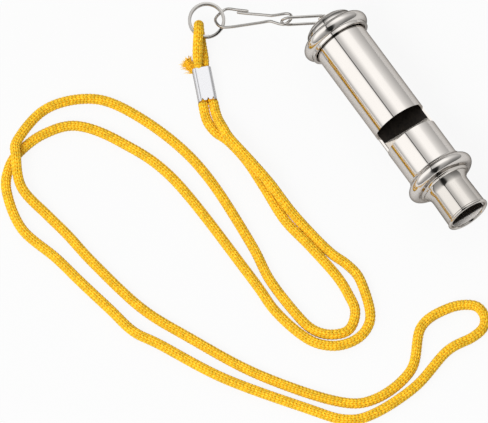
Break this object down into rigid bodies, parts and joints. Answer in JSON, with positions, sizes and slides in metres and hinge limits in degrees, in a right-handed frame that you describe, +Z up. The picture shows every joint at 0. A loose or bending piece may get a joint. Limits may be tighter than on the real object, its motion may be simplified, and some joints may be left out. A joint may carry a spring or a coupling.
{
  "type": "training whistle with lanyard",
  "caption": "Polished nickel two-note tube whistle for training birds, with a wire bail, spring clip, split ring, crimped ferrule and a yellow knitted neck lanyard.",
  "frame": {"origin": "On the table under the middle of the whistle and its bail, where the whistle rests on its two beads.", "axes": "+X runs along the tube from the cap to the mouth, +Y to the side away from the lanyard, +Z up from the table to the front window."},
  "size_m": [0.1502, 0.132, 0.0234],
  "materials": {
    "nickel": "polished nickel plate on brass, warm grey",
    "inner_brass": "dark, oxidised brass inside the tube",
    "spring_wire": "bright nickel-plated spring steel wire",
    "ferrule_plate": "bright plated sheet band, crimped",
    "cord_yellow": "golden yellow knitted polyester cord"
  },
  "bodies": {
    "whistle": {"barrel": "nickel", "divider_plate": "inner_brass", "front_windway_block": "inner_brass", "rear_windway_block": "inner_brass", "front_chamber_stop": "inner_brass", "rear_chamber_stop": "inner_brass", "mouthpiece": "nickel", "bead_collar": "nickel", "end_cap": "nickel", "bail_stud": "nickel", "stud_washer": "inner_brass"},
    "bail": {"bail": "spring_wire"},
    "clip": {"clip_wire": "spring_wire"},
    "gate": {"clip_gate": "spring_wire"},
    "ring": {"split_ring": "spring_wire"},
    "lanyard": {"ferrule": "ferrule_plate", "cord_core": "cord_yellow", "cord_main_loop": "cord_yellow", "cord_ring_loop": "cord_yellow", "cord_tail": "cord_yellow"}
  },
  "joints": [
    {"name": "bail_swing", "type": "hinge", "parent": "whistle", "child": "bail", "pos_m": [-0.0381, 0, 0.0117], "axis": [0, 0, 1], "range_deg": [-120, 5]},
    {"name": "clip_swing", "type": "hinge", "parent": "bail", "child": "clip", "pos_m": [-0.04482, -0.0116, 0.0117], "axis": [0, 0, 1], "range_deg": [-70, 4]},
    {"name": "gate_open", "type": "hinge", "parent": "clip", "child": "gate", "pos_m": [-0.04901, -0.01275, 0.01008], "axis": [-0.4424, 0.0228, 0.8965], "range_deg": [0, 16], "stiffness_Nm_per_rad": 0.12},
    {"name": "ring_turn", "type": "hinge", "parent": "clip", "child": "ring", "pos_m": [-0.06096, -0.02987, 0.0056], "axis": [0.1445, -0.0963, 0.9848], "continuous": true},
    {"name": "lanyard_swing", "type": "hinge", "parent": "clip", "child": "lanyard", "pos_m": [-0.06096, -0.02987, 0.0056], "axis": [0, 0, 1], "range_deg": [-25, 3]}
  ]
}
